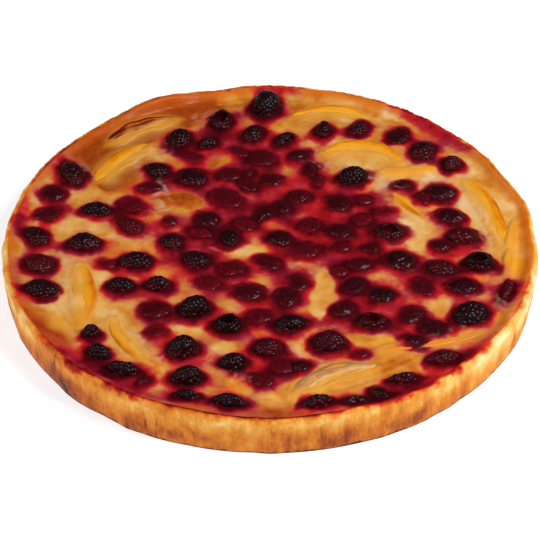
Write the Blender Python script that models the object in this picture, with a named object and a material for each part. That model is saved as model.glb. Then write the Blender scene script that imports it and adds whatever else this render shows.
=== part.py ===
"""A round fruit tart: a straight-sided pastry shell filled with baked custard, with fruit slices and
dark berries sunk in it. Metres, +Z up; the origin is the middle of the flat base."""

import math
import random
from typing import NamedTuple

import bmesh
import bpy
from mathutils import Vector, noise
from mathutils.geometry import delaunay_2d_cdt


class Berry(NamedTuple):
    """Middle, length, width and height above the custard in mm; turn of the length in degrees."""

    x: float
    y: float
    length: float
    width: float
    rise: float
    turn: float
    hollow: bool = False


class Slice(NamedTuple):
    """Start and end, how far the middle bows to the left of that way, width and height, in mm."""

    x0: float
    y0: float
    x1: float
    y1: float
    bow: float
    width: float
    rise: float


MM = 0.001
CLEARANCE = 0.4  # mm between two pieces that touch
SEED = 28

# Pastry shell, in mm
RIM_RADIUS = 140.0
RIM_HEIGHT = 23.5
FLOOR_THICKNESS = 4.0
COLUMNS = 108  # upright ribs of pastry round the wall
RIB_DEPTH = 0.35
RIM_WAVE = 0.9
RIM_WAVE_COUNTS = (3, 7, 11)
CREST_INSET = 2.7
# Half of the shell's section: distance in from the outline, and height, from the foot over the
# rounded rim and down the inner wall to the floor.
SHELL_SECTION = [
    (2.6, 0.0),
    (1.7, 1.0),
    (0.9, 7.5),
    (0.3, 15.0),
    (0.0, 20.3),
    (0.8, 22.7),
    (CREST_INSET, RIM_HEIGHT),
    (4.4, 22.7),
    (5.1, 20.3),
    (5.4, FLOOR_THICKNESS),
]
# Where the baked rim bulges out or is pinched in: bearing in degrees, bulge, width in degrees.
RIM_LUMPS = [
    (12, 1.8, 4),
    (24, -1.0, 7),
    (68, 0.8, 8),
    (92, 0.9, 6),
    (120, 0.8, 8),
    (226, 1.4, 4),
    (243, 1.2, 8),
    (316, -0.7, 9),
]
# Where the baked rim stands higher: bearing in degrees, rise, width in degrees.
RIM_RISES = [
    (66, 0.8, 10),
    (117, 3.4, 9),
]

# Custard, in mm
CUSTARD_LEVEL = 20.6
CUSTARD_WAVE = 0.5
CUSTARD_WAVE_LENGTH = 24.0
FILLER_SPACING = 13.0  # points of open custard, away from any fruit
FILLER_CLEAR = 5.0  # nearest that such a point comes to another
DOME_CLEAR = 1.0
RIDGE_CLEAR = 1.5
EDGE_CLEAR = 2.0
JOIN_DISTANCE = 1e-4

# Berries that stand out of the custard. A hollow one shows the hole where its stalk was.
PROUD_BERRIES = [
    Berry(-107, 57.5, 24, 16, 6.5, -65),
    Berry(-122, 3, 18, 14, 5.5, -55),
    Berry(-97, -3, 19, 17, 7, 0),
    Berry(-92, 25, 18, 13, 6, -10),
    Berry(-74, 12, 19, 12, 5, -45),
    Berry(-61, 60, 16, 14, 6, -30),
    Berry(-50, 89, 18, 17, 7.5, 60),
    Berry(-34, 85, 13, 12, 6, 20),
    Berry(-27, 106, 19, 16, 8.5, 80, hollow=True),
    Berry(-2, 120, 25, 21, 12, 80),
    Berry(-9, 94, 16, 14, 6, 60),
    Berry(8, 89, 15, 11, 6, 45),
    Berry(30, 97, 15, 13, 7, 80),
    Berry(50, 99, 14, 12, 5, 60),
    Berry(84, 78, 18, 17, 6, 45),
    Berry(99, 66, 14, 13, 7, 60),
    Berry(45, 54, 19, 16, 9, 20),
    Berry(101, 3, 19, 15, 6, 0),
    Berry(63, 7, 18, 15, 6, 0, hollow=True),
    Berry(-21, 1, 15, 13, 6, 100),
    Berry(-51, -2, 15, 14, 6, -30),
    Berry(-38, -17, 18, 15, 6.5, -30),
    Berry(51, -66, 18, 15, 7, 0, hollow=True),
    Berry(88, -23, 18, 14, 5.5, -15),
    Berry(108, -20, 19, 16, 9, 0, hollow=True),
    Berry(101, -60, 22, 19, 8, 30),
    Berry(120.5, -42, 18, 8, 5, 68),
    Berry(84.5, -93, 19, 12, 6, 15),
    Berry(65, -108.5, 17, 9, 6, 10),
    Berry(23, -125.5, 18, 10, 7, 15),
    Berry(29, -82, 20, 17, 9, 0),
    Berry(10, -68, 18, 14, 6.5, 15),
    Berry(-1, -86, 17, 16, 7.5, 0),
    Berry(-119, -20, 19, 16, 6, -30),
    Berry(-116, -40.5, 20, 15, 7, -15),
    Berry(-69, -18, 20, 16, 7, 0),
    Berry(-76, -38, 17, 13, 7, 0),
    Berry(-57, -38, 16, 12, 8, 0),
    Berry(-38, -56, 20, 17, 10, 20),
    Berry(-21, -69, 18, 16, 9.5, 0, hollow=True),
    Berry(-43, -87, 19, 17, 10, 0),
    Berry(-18, -97, 16, 14, 8, 10),
    Berry(-40, -108, 19, 14, 9, 0),
    Berry(-40.5, -121, 15, 8, 6, -8),
    Berry(-19.5, -125, 19, 10, 7, -12),
    Berry(-89, -75, 11, 11, 8, 60),
    Berry(-84, -90, 14, 12, 7.5, -30),
    Berry(-72, -102, 18, 11, 8, -10),
]
BERRY_SIDES = 12
# From the top down: share of the plan size, and share of the height above the widest ring, or of the
# depth below it.
BERRY_RINGS = [(0.47, 0.88), (0.84, 0.55), (1.0, 0.0), (0.6, -0.75)]
BERRY_DEPTH_SHARE = 0.36  # depth below the widest ring, as a share of the width
BERRY_LIFT = 0.6  # widest ring above the custard, mm
DRUPELET_DENT = 0.09
DRUPELET_JITTER = 0.04
HOLLOW_FLOOR = 0.35  # height of a hollow berry's middle, as a share of its height

# Berries that the custard has closed over, fused to it as low domes.
SUNK_BERRIES = [
    Berry(-116, 40, 14, 12, 3, -60),
    Berry(-118, 22, 15, 12, 2.6, 20),
    Berry(-74, 31, 15, 13, 2, -40),
    Berry(-42, 54, 18, 15, 4.2, -30),
    Berry(-43, 74, 15, 9, 1.6, -30),
    Berry(-22, 57, 13, 11, 2.4, 0),
    Berry(-12, 48, 14, 8, 2.4, -50),
    Berry(-11, 60, 6, 6, 1.4, 0),
    Berry(-23, 36, 20, 15, 2.2, -20),
    Berry(-64, 46, 15, 8, 2.4, 0),
    Berry(-33, 18, 13, 12, 3.4, -20),
    Berry(-53, 16, 8, 7, 2.2, -40),
    Berry(-37, 7, 14, 8, 1.4, -10),
    Berry(-3, 22, 15, 9, 3.2, 60),
    Berry(-13, 14, 13, 11, 2, 0),
    Berry(-4, 72, 16, 13, 2.4, -20),
    Berry(-17, 78, 12, 8, 1.8, -20),
    Berry(16, 75, 12, 8, 3, 30),
    Berry(22, 62, 13, 7, 2.6, 100),
    Berry(26, 52, 11, 7, 1.8, 80),
    Berry(71, 92, 16, 14, 3.6, 70),
    Berry(71, 47, 12, 9, 2.8, 40),
    Berry(92, 41, 16, 14, 3.8, 0),
    Berry(82, 36, 11, 8, 1.6, 70),
    Berry(95, 20, 16, 13, 3.8, -20),
    Berry(89, -5, 11, 9, 2.8, -30),
    Berry(53, -6, 11, 9, 2.6, 0),
    Berry(37, 8, 14, 11, 3.2, -15),
    Berry(5, 1, 15, 13, 3.6, 0),
    Berry(21, 13, 13, 11, 2.2, 0),
    Berry(36, 31, 15, 13, 3.2, -30),
    Berry(16, 37, 13, 11, 2.6, 0),
    Berry(2, 52, 11, 10, 2.6, 0),
    Berry(7, 29, 11, 8, 2.8, -60),
    Berry(19, -8, 16, 12, 2, 20),
    Berry(60, 25, 11, 7, 1.4, 0),
    Berry(50, 35, 9, 8, 1.4, 0),
    Berry(49, 18, 12, 10, 1.4, 20),
    Berry(38, -5, 9, 8, 1.8, 0),
    Berry(67, -17, 18, 15, 4.4, 0),
    Berry(46, -20, 16, 9, 2.6, 0),
    Berry(36, -25, 9, 8, 1.6, 90),
    Berry(43, -38, 14, 12, 3.2, 70),
    Berry(57, -45, 16, 12, 4, 0),
    Berry(37, -56, 13, 11, 2.8, 0),
    Berry(98, -38, 18, 12, 4, 0),
    Berry(78, -38, 15, 10, 2.4, -60),
    Berry(71, -60, 15, 12, 2.8, 60),
    Berry(82, -70, 15, 12, 3.2, -20),
    Berry(71, -80, 11, 8, 3.2, -20),
    Berry(53, -119, 12, 8, 4.2, -30),
    Berry(41, -124, 15, 7, 4, 0),
    Berry(6, -99, 13, 10, 1.8, 0),
    Berry(15, -99, 9, 8, 3.4, 0),
    Berry(8, -47, 16, 11, 3, 100),
    Berry(15, -35, 12, 10, 2.4, 110),
    Berry(45, -89, 8, 6, 1.2, 0),
    Berry(-4, -109, 12, 11, 2.2, 0),
    Berry(-84, -19, 9, 7, 1.2, 0),
    Berry(-58, -56, 16, 13, 2.6, 0),
    Berry(-57, -72, 11, 8, 1.6, 0),
    Berry(-61, -109, 8, 6, 2.4, 60),
    Berry(-20, -23, 15, 12, 2.2, 0),
    Berry(-1, -18, 15, 11, 2.4, -30),
    Berry(-31, -35, 13, 10, 1.4, 0),
    Berry(-11, -42, 16, 14, 2.8, 0),
    Berry(-5, -61, 12, 12, 2.2, 0),
]
DOME_FOOT_SIDES = 8
DOME_FOOT = 1.03  # foot of a dome, as a share of the berry's plan
DOME_SHOULDER_SIDES = 5
DOME_SHOULDER = 0.62

FRUIT_SLICES = [
    Slice(-91, 84, -49, 110, 6, 12, 3.6),
    Slice(-95, 50, -65, 86, 4, 13, 2.2),
    Slice(28, 77, 73, 68, 11, 12, 3.2),
    Slice(11, 111, 57, 107, 9, 9, 2.8),
    Slice(105, 57, 122, -6, 4, 12, 2.6),
    Slice(66, 46, 85, 19, -3, 9, 2),
    Slice(50, -87.5, 111, -72, -1, 7, 2.6),
    Slice(9, -121, 54, -98, 6, 14, 3.6),
    Slice(-99, -17, -95, -67, 4, 12, 2.4),
    Slice(-81, -60, -55, -99, -4, 9, 2),
]
SLICE_STATIONS = 9
SLICE_END = 0.03  # the first and last station, as a share of the length
SLICE_TAPER = 0.55  # power of the sine that narrows a slice to its ends
SLICE_SWELL = 0.4  # and of the one that lowers it there
SLICE_LIFT = 0.3  # widest line above the custard, mm
SLICE_DEPTH = 3.5
SLICE_FOOT = 0.55  # width at the bottom, as a share of the width
# Top of a slice's section, from its skin edge across: share of the half width and of the height.
SLICE_SECTION = [(1.0, 0.0), (0.62, 1.0), (-0.25, 0.62), (-1.0, 0.0)]

# Slices that the custard has closed over, as low ridges of it.
SUNK_SLICES = [
    Slice(-117, -53, -100, -79, -3, 13, 1.3),
    Slice(128, 20, 119, -36, 3, 7, 1.8),
    Slice(-62, 30, -63, 4, -2, 6, 1.2),
    Slice(-24, -107, 4, -118, -5, 7, 1.2),
    Slice(56, 57, 92, 61, 7, 8, 1.4),
]
RIDGE_STATIONS = 5

# Colour and roughness of each finish
FINISHES = {
    "baked_pastry": ((0.80, 0.43, 0.13, 1), 0.6),
    "baked_custard": ((0.74, 0.35, 0.07, 1), 0.35),
    "fruit_flesh": ((0.80, 0.50, 0.10, 1), 0.3),
    "berry_skin": ((0.05, 0.006, 0.012, 1), 0.3),
}


def clear_scene():
    for obj in list(bpy.data.objects):
        bpy.data.objects.remove(obj)


def material(name):
    made = bpy.data.materials.get(name)
    if made is None:
        colour, roughness = FINISHES[name]
        made = bpy.data.materials.new(name)
        made.use_nodes = True
        shader = made.node_tree.nodes["Principled BSDF"]
        shader.inputs["Base Color"].default_value = colour
        shader.inputs["Roughness"].default_value = roughness
    return made


def finish_object(bm, name, finish):
    """Turns a bmesh in mm into a named object in metres with outward faces."""
    bmesh.ops.recalc_face_normals(bm, faces=bm.faces)
    bmesh.ops.scale(bm, vec=Vector((MM, MM, MM)), verts=bm.verts)
    mesh = bpy.data.meshes.new(name)
    bm.to_mesh(mesh)
    bm.free()
    obj = bpy.data.objects.new(name, mesh)
    obj.data.materials.append(material(finish))
    bpy.context.scene.collection.objects.link(obj)
    return obj


def band_faces(bm, rings):
    """Pairs of triangles between each closed ring of points and the next one."""
    for upper, lower in zip(rings, rings[1:]):
        for i, point in enumerate(upper):
            j = (i + 1) % len(upper)
            bm.faces.new((point, lower[i], lower[j]))
            bm.faces.new((point, lower[j], upper[j]))


def fan_faces(bm, middle, ring):
    for i, point in enumerate(ring):
        bm.faces.new((middle, point, ring[(i + 1) % len(ring)]))


def along_rim(swells, angle):
    """Sum at this bearing of soft swells of the rim, each a bearing, a size in mm and a width."""
    total = 0.0
    for bearing, size, width in swells:
        away = (math.degrees(angle) - bearing + 180) % 360 - 180
        total += size * math.exp(-((away / width) ** 2))
    return total


def lump(angle):
    """How far the rim bulges out at this bearing, in mm."""
    return along_rim(RIM_LUMPS, angle)


def pastry_shell():
    """The section is spun once round, then each column is moved to the uneven baked outline."""
    draw = random.Random(SEED)
    ribs = [draw.uniform(-RIB_DEPTH, RIB_DEPTH) for _ in range(COLUMNS)]
    phases = [draw.uniform(0, 2 * math.pi) for _ in RIM_WAVE_COUNTS]
    bm = bmesh.new()
    points = [bm.verts.new((RIM_RADIUS - inset, 0, height)) for inset, height in SHELL_SECTION]
    edges = [bm.edges.new(pair) for pair in zip(points, points[1:])]
    bmesh.ops.spin(
        bm, geom=points + edges, cent=(0, 0, 0), axis=(0, 0, 1), angle=2 * math.pi, steps=COLUMNS
    )
    bmesh.ops.remove_doubles(bm, verts=bm.verts, dist=CLEARANCE)
    for vert in bm.verts:
        angle = math.atan2(vert.co.y, vert.co.x)
        inset = RIM_RADIUS - math.hypot(vert.co.x, vert.co.y)
        height = vert.co.z
        radius = RIM_RADIUS - inset + lump(angle)
        if inset < CREST_INSET - CLEARANCE and height > 0:
            radius += ribs[round(angle / (2 * math.pi) * COLUMNS) % COLUMNS]
        if height > FLOOR_THICKNESS:
            waves = [math.sin(count * angle + phase) for count, phase in zip(RIM_WAVE_COUNTS, phases)]
            swell = RIM_WAVE * sum(waves) / len(waves) + along_rim(RIM_RISES, angle)
            height += swell * (height / RIM_HEIGHT) ** 3
        vert.co = (radius * math.cos(angle), radius * math.sin(angle), height)
    bmesh.ops.holes_fill(bm, edges=[edge for edge in bm.edges if edge.is_boundary], sides=0)
    return finish_object(bm, "pastry_shell", "baked_pastry")


def turned_plan(x, y, turn):
    """A plan frame turned by so many degrees about a point, as a function of its two axes."""
    along = Vector((math.cos(math.radians(turn)), math.sin(math.radians(turn))))
    across = Vector((-along.y, along.x))
    return lambda u, v: Vector((x, y)) + along * u + across * v


def plan_ring(berry, share, sides, grow=0.0):
    """Points round a share of a berry's oval, widened by so many mm."""
    frame = turned_plan(berry.x, berry.y, berry.turn)
    ring = []
    for side in range(sides):
        angle = 2 * math.pi * side / sides
        along = (berry.length / 2 * share + grow) * math.cos(angle)
        across = (berry.width / 2 * share + grow) * math.sin(angle)
        ring.append(frame(along, across))
    return ring


def dome_height(x, y, berry):
    """Height of a sunk berry's dome over this point, or 0 beside it."""
    turn = math.radians(berry.turn)
    dx, dy = x - berry.x, y - berry.y
    u = (dx * math.cos(turn) + dy * math.sin(turn)) / (berry.length / 2)
    v = (dy * math.cos(turn) - dx * math.sin(turn)) / (berry.width / 2)
    return berry.rise * math.sqrt(max(0.0, 1 - u * u - v * v))


def open_level(x, y):
    """The custard's own surface, with no fruit."""
    return CUSTARD_LEVEL + CUSTARD_WAVE * noise.noise(Vector((x, y, SEED)) / CUSTARD_WAVE_LENGTH)


def surface_height(x, y):
    return open_level(x, y) + max(dome_height(x, y, berry) for berry in SUNK_BERRIES)


def berry_heights(berry):
    """Heights of a proud berry's top, widest ring and bottom."""
    level = open_level(berry.x, berry.y)
    widest = level + BERRY_LIFT
    return level + berry.rise, widest, widest - BERRY_DEPTH_SHARE * berry.width


def ring_height(heights, share):
    """Height at a share of the way up from the widest ring, or down from it where below 0."""
    top, widest, bottom = heights
    return widest + share * (top - widest if share > 0 else widest - bottom)


def proud_berry(number, berry):
    """Rings of points, dented at every other one so that the skin is knobbly where it shows."""
    heights = berry_heights(berry)
    draw = random.Random(SEED + number)
    bm = bmesh.new()
    rings = []
    for row, (share, height_share) in enumerate(BERRY_RINGS):
        if berry.hollow and row == 0:
            height_share = 1.0
        height = ring_height(heights, height_share)
        middle = Vector((berry.x, berry.y))
        ring = []
        for side, point in enumerate(plan_ring(berry, share, BERRY_SIDES)):
            if height_share >= 0:
                dent = DRUPELET_DENT * ((side + row) % 2) + draw.uniform(0, DRUPELET_JITTER)
                point = point.lerp(middle, dent)
            ring.append(bm.verts.new((point.x, point.y, height)))
        rings.append(ring)
    crown = ring_height(heights, HOLLOW_FLOOR if berry.hollow else 1.0)
    band_faces(bm, rings)
    fan_faces(bm, bm.verts.new((berry.x, berry.y, crown)), rings[0])
    fan_faces(bm, bm.verts.new((berry.x, berry.y, heights[-1])), rings[-1])
    obj = finish_object(bm, f"berry_{number:02d}", "berry_skin")
    obj.data.shade_smooth()
    return obj


def slice_line(piece, share):
    """Point on the bowed middle line of a slice, at a share of its length, and the two ways there:
    along the line and to its left."""
    start, end = Vector((piece.x0, piece.y0)), Vector((piece.x1, piece.y1))
    chord = end - start
    side = Vector((-chord.y, chord.x)).normalized()
    point = start + chord * share + side * piece.bow * 4 * share * (1 - share)
    heading = (chord + side * piece.bow * 4 * (1 - 2 * share)).normalized()
    return point, heading, Vector((-heading.y, heading.x))


def slice_half_width(piece, share):
    return piece.width / 2 * math.sin(math.pi * share) ** SLICE_TAPER


def slice_shares():
    span = 1 - 2 * SLICE_END
    return [SLICE_END + span * i / (SLICE_STATIONS - 1) for i in range(SLICE_STATIONS)]


def slice_level(piece):
    middle = slice_line(piece, 0.5)[0]
    return open_level(middle.x, middle.y) + SLICE_LIFT


def fruit_slice(number, piece):
    """A crescent with its skin edge standing proud on the outer side of the bow."""
    skin_side = math.copysign(1, piece.bow)
    bm = bmesh.new()
    loops = []
    for share in slice_shares():
        point, _, left = slice_line(piece, share)
        half = slice_half_width(piece, share) * skin_side
        swell = piece.rise * math.sin(math.pi * share) ** SLICE_SWELL
        section = [(across, up * swell) for across, up in SLICE_SECTION]
        section += [(-SLICE_FOOT, -SLICE_DEPTH), (SLICE_FOOT, -SLICE_DEPTH)]
        loop = []
        for across, up in section:
            flat = point + left * half * across
            loop.append(bm.verts.new((flat.x, flat.y, slice_level(piece) + up)))
        loops.append(loop)
    band_faces(bm, loops)
    bm.faces.new(loops[0])
    bm.faces.new(loops[-1])
    return finish_object(bm, f"fruit_slice_{number:02d}", "fruit_flesh")


def slice_outline(piece, share_of_width, grow, end_grow):
    """The loop round a slice in plan, widened and lengthened by so many mm."""
    left_side, right_side = [], []
    shares = slice_shares()
    for share in shares:
        point, heading, left = slice_line(piece, share)
        half = slice_half_width(piece, share) * share_of_width + grow
        end = {shares[0]: -end_grow, shares[-1]: end_grow}.get(share, 0.0)
        left_side.append(point + heading * end + left * half)
        right_side.append(point + heading * end - left * half)
    return left_side + right_side[::-1]


class Sheet:
    """Points of the custard's top with their heights, and the closed loops its triangles keep."""

    def __init__(self):
        self.plan = []
        self.heights = []
        self.loops = []

    def add(self, point, height):
        self.plan.append(Vector(point))
        self.heights.append(height)
        return len(self.plan) - 1

    def add_loop(self, points, height_at):
        loop = [self.add(point, height_at(point.x, point.y)) for point in points]
        self.loops.extend(zip(loop, loop[1:] + loop[:1]))


def inside(point, outline):
    """Whether a plan point lies inside a closed outline."""
    hit = False
    for a, b in zip(outline, outline[1:] + outline[:1]):
        if (a.y > point.y) != (b.y > point.y):
            if point.x < a.x + (b.x - a.x) * (point.y - a.y) / (b.y - a.y):
                hit = not hit
    return hit


def pocket(sheet, rim, rim_height, foot, foot_height):
    """A hollow in the custard, from its rim, no higher than the fruit's widest line, to its foot."""
    sheet.add_loop(rim, lambda x, y: min(surface_height(x, y), rim_height))
    sheet.add_loop(foot, lambda x, y: foot_height - CLEARANCE)
    return rim


def berry_pocket(sheet, berry):
    heights = berry_heights(berry)
    foot_share, foot_height_share = BERRY_RINGS[-1]
    foot_height = ring_height(heights, foot_height_share)
    rim = plan_ring(berry, 1.0, BERRY_SIDES, CLEARANCE)
    foot = plan_ring(berry, foot_share, BERRY_SIDES, CLEARANCE)
    sheet.add((berry.x, berry.y), heights[-1] - CLEARANCE)
    return pocket(sheet, rim, heights[1], foot, foot_height)


def slice_pocket(sheet, piece):
    level = slice_level(piece)
    rim = slice_outline(piece, 1.0, CLEARANCE, 3 * CLEARANCE)
    foot = slice_outline(piece, SLICE_FOOT, CLEARANCE, CLEARANCE)
    return pocket(sheet, rim, level, foot, level - SLICE_DEPTH)


def dome_points(berry):
    """Foot, shoulder and top of a sunk berry's dome."""
    points = plan_ring(berry, DOME_FOOT, DOME_FOOT_SIDES)
    points += plan_ring(berry, DOME_SHOULDER, DOME_SHOULDER_SIDES)
    return [(point, 0.0) for point in [*points, Vector((berry.x, berry.y))]]


def ridge_points(piece):
    """Crest and two feet of a sunk slice, with the crest's rise."""
    points = []
    for i in range(RIDGE_STATIONS):
        share = (i + 0.5) / RIDGE_STATIONS
        point, _, left = slice_line(piece, share)
        half = slice_half_width(piece, share)
        points += [(point, piece.rise), (point + left * half, 0.0), (point - left * half, 0.0)]
    return points


def filler_points():
    """An even pattern of points over the open custard, every other row shifted by half a step."""
    steps = int(RIM_RADIUS / FILLER_SPACING) + 1
    points = []
    for row in range(-steps, steps + 1):
        shift = FILLER_SPACING / 2 if row % 2 else 0.0
        for column in range(-steps, steps + 1):
            points.append((Vector((column * FILLER_SPACING + shift, row * FILLER_SPACING)), 0.0))
    return points


def custard_sheet():
    """All points of the top: its edge, a pocket under each proud fruit, and what lies between."""
    sheet = Sheet()
    reach = RIM_RADIUS - SHELL_SECTION[-1][0] - CLEARANCE
    edge = []
    for column in range(COLUMNS):
        angle = 2 * math.pi * column / COLUMNS
        edge.append((reach + lump(angle)) * Vector((math.cos(angle), math.sin(angle))))
    sheet.add_loop(edge, open_level)
    outlines = [berry_pocket(sheet, berry) for berry in PROUD_BERRIES]
    outlines += [slice_pocket(sheet, piece) for piece in FRUIT_SLICES]
    groups = [(DOME_CLEAR, dome_points(berry)) for berry in SUNK_BERRIES]
    groups += [(RIDGE_CLEAR, ridge_points(piece)) for piece in SUNK_SLICES]
    groups += [(FILLER_CLEAR, filler_points())]
    for spacing, points in groups:
        for point, rise in points:
            in_custard = point.length < reach + lump(math.atan2(point.y, point.x)) - EDGE_CLEAR
            if not in_custard or any(inside(point, outline) for outline in outlines):
                continue
            if min((point - other).length for other in sheet.plan) > spacing:
                sheet.add(point, surface_height(point.x, point.y) + rise)
    return sheet


def custard():
    """The top is a sheet of triangles that dips under each proud fruit and swells over each sunk
    one; the sides follow the shell's inner wall down to its floor."""
    sheet = custard_sheet()
    plan, _, faces, sources, _, _ = delaunay_2d_cdt(sheet.plan, sheet.loops, [], 1, JOIN_DISTANCE)
    bm = bmesh.new()
    top = []
    for point, source in zip(plan, sources):
        top.append(bm.verts.new((point.x, point.y, sheet.heights[source[0]])))
    for face in faces:
        bm.faces.new([top[i] for i in face])
    rim = [edge for edge in bm.edges if edge.is_boundary]
    walls = bmesh.ops.extrude_edge_only(bm, edges=rim)["geom"]
    for vert in [item for item in walls if isinstance(item, bmesh.types.BMVert)]:
        vert.co.z = FLOOR_THICKNESS + CLEARANCE
    bmesh.ops.holes_fill(bm, edges=[edge for edge in bm.edges if edge.is_boundary], sides=0)
    return finish_object(bm, "custard", "baked_custard")


def main():
    clear_scene()
    pastry_shell()
    custard()
    for number, berry in enumerate(PROUD_BERRIES, 1):
        proud_berry(number, berry)
    for number, piece in enumerate(FRUIT_SLICES, 1):
        fruit_slice(number, piece)


main()
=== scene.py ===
# %% [markdown]
# A fruit tart as a baker makes it: a straight-sided pastry shell, a golden egg custard baked in it, and
# dark berries and soft fruit slices that sank into the custard while it set. This lesson dresses the
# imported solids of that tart. The solids say where each piece is and how large; the cells below give
# each one its fine shape and its finish.

import math
from contextlib import contextmanager
from functools import partial

import bpy
import numpy as np
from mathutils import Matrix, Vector, noise


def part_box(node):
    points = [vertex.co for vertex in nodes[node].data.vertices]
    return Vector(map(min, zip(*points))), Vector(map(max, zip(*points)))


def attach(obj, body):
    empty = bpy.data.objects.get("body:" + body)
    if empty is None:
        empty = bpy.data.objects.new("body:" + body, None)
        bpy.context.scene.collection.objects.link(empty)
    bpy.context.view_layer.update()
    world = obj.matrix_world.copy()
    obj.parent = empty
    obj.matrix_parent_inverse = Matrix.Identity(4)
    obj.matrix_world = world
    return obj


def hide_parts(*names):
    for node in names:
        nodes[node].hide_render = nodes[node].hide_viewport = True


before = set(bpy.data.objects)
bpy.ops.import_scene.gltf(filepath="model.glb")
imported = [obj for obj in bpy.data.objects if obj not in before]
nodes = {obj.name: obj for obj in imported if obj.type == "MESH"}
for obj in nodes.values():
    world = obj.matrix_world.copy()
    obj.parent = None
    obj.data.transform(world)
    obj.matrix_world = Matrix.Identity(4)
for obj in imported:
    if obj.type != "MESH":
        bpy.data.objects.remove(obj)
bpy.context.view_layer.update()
MM = 0.001
TAU = 2 * math.pi

# %% [markdown]
# The camera comes first, because it decides how much detail is worth making. The tart was
# photographed from a little over a metre away with a long lens, from about 39 degrees above the table.
# The camera is lowered slightly without turning it, which lifts the tart in the picture.

# %% Camera
CAMERA_DISTANCE = 1.2
CAMERA_ELEVATION = math.radians(39.35)
CAMERA_LENS = 152.3  # mm
SENSOR_WIDTH = 36  # mm
CAMERA_DROP = 0.0081
AIM = Vector((0, 0, 0.012))

backward = Vector((0, -math.cos(CAMERA_ELEVATION), math.sin(CAMERA_ELEVATION)))
upward = Vector((0, math.sin(CAMERA_ELEVATION), math.cos(CAMERA_ELEVATION)))
bpy.ops.object.camera_add(
    location=AIM + backward * CAMERA_DISTANCE - upward * CAMERA_DROP,
    rotation=(math.pi / 2 - CAMERA_ELEVATION, 0, 0),
)
camera = bpy.context.object
camera.data.lens = CAMERA_LENS
camera.data.sensor_width = SENSOR_WIDTH
bpy.context.scene.camera = camera

# %% [markdown]
# A few small helpers serve every piece. Blender's operators act on whatever is selected, so each piece
# starts with nothing selected. Points are moved as numpy arrays, which is quick even for many of them.

# %% Helpers for pieces
SHARP_ANGLE = math.radians(60)  # edges sharper than this stay crisp


def start_piece():
    """Nothing is selected, so that the next operator touches only the new piece."""
    bpy.ops.object.select_all(action="DESELECT")


def name_piece(name):
    piece = bpy.context.object
    piece.name = name
    piece.data.name = name
    return piece


def copy_piece(source, name):
    """A copy with its own mesh, which is then the only piece selected."""
    piece = bpy.data.objects.new(name, source.data.copy())
    piece.data.name = name
    piece.data.materials.clear()
    bpy.context.scene.collection.objects.link(piece)
    start_piece()
    piece.select_set(True)
    bpy.context.view_layer.objects.active = piece
    return piece


def get_points(piece):
    flat = np.empty(len(piece.data.vertices) * 3)
    piece.data.vertices.foreach_get("co", flat)
    return flat.reshape(-1, 3)


def set_points(piece, points):
    piece.data.vertices.foreach_set("co", points.ravel())
    piece.data.update()


def store(piece, **numbers):
    """Keeps numbers for each point under these names, by which a material can read them."""
    for name, values in numbers.items():
        layer = piece.data.attributes.new(name, "FLOAT", "POINT")
        layer.data.foreach_set("value", np.asarray(values, dtype=np.float32))


@contextmanager
def editing(selection=None):
    """Edit mode, with everything selected by "SELECT" or nothing by "DESELECT"."""
    bpy.ops.object.mode_set(mode="EDIT")
    if selection:
        bpy.ops.mesh.select_all(action=selection)
    yield
    bpy.ops.object.mode_set(mode="OBJECT")


def smooth_piece(piece, levels):
    rounder = piece.modifiers.new("rounder", "SUBSURF")
    rounder.levels = rounder.render_levels = levels
    bpy.ops.object.modifier_apply(modifier=rounder.name)


def close_open_edges(drop=0.0):
    """Fills the active piece's open loops with faces, after walls straight down if there is a drop."""
    with editing("DESELECT"):
        bpy.ops.mesh.select_mode(type="EDGE")
        bpy.ops.mesh.select_non_manifold()
        if drop:
            bpy.ops.mesh.extrude_region_move(TRANSFORM_OT_translate={"value": (0, 0, -drop)})
        bpy.ops.mesh.edge_face_add()
        bpy.ops.mesh.select_all(action="SELECT")
        bpy.ops.mesh.normals_make_consistent(inside=False)


def join_tart(piece, slot, *replaced):
    """The piece rides on the tart and stands for these solids; its slot is not used."""
    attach(piece, "root")
    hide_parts(*replaced)
    print(piece.name, "has", len(piece.data.polygons), "faces")


# %% [markdown]
# Almost nothing on a baked tart is even, so noise does a good part of the shaping. One function reads
# smooth noise at many points, with lumps of a real size. Another raises a soft-edged patch along the
# rim, because browning and spilt juice come and go round the tart.

# %% Uneven shapes
def noise_of(places):
    """Smooth noise from about -1 to 1, with lumps one unit across."""
    return np.array([noise.noise(Vector(place)) for place in places])


def noise_at(points, size, seed=0.0, stretch=1.0):
    """Noise whose lumps are this many metres across, or taller by the stretch."""
    return noise_of(points / size * np.array((1, 1, 1 / stretch)) + seed)


def soft_step(values, start, end):
    share = np.clip((values - start) / (end - start), 0, 1)
    return share * share * (3 - 2 * share)


def bearing_of(points):
    return np.arctan2(points[:, 1], points[:, 0])


def radius_of(points):
    return np.hypot(points[:, 0], points[:, 1])


def along_rim(bearings, stretches):
    """Sum of soft stretches, each a bearing and a width in degrees and a strength."""
    total = np.zeros(len(bearings))
    for middle, width, strength in stretches:
        away = (np.degrees(bearings) - middle + 180) % 360 - 180
        total += strength * np.exp(-((away / width) ** 2))
    return total


def outside_oval(points, x, y, half_length, half_width, turn):
    """How far each point lies outside an oval, or less than 0 inside it."""
    dx, dy = points[:, 0] - x, points[:, 1] - y
    along = dx * math.cos(turn) + dy * math.sin(turn)
    across = dy * math.cos(turn) - dx * math.sin(turn)
    share = np.maximum(np.hypot(along / half_length, across / half_width), 0.001)
    return np.hypot(along, across) * (1 - 1 / share)


def from_mm(x, y, half_length, half_width, turn):
    """An oval listed in mm and degrees, in metres and radians."""
    return x * MM, y * MM, half_length * MM, half_width * MM, math.radians(turn)


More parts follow.
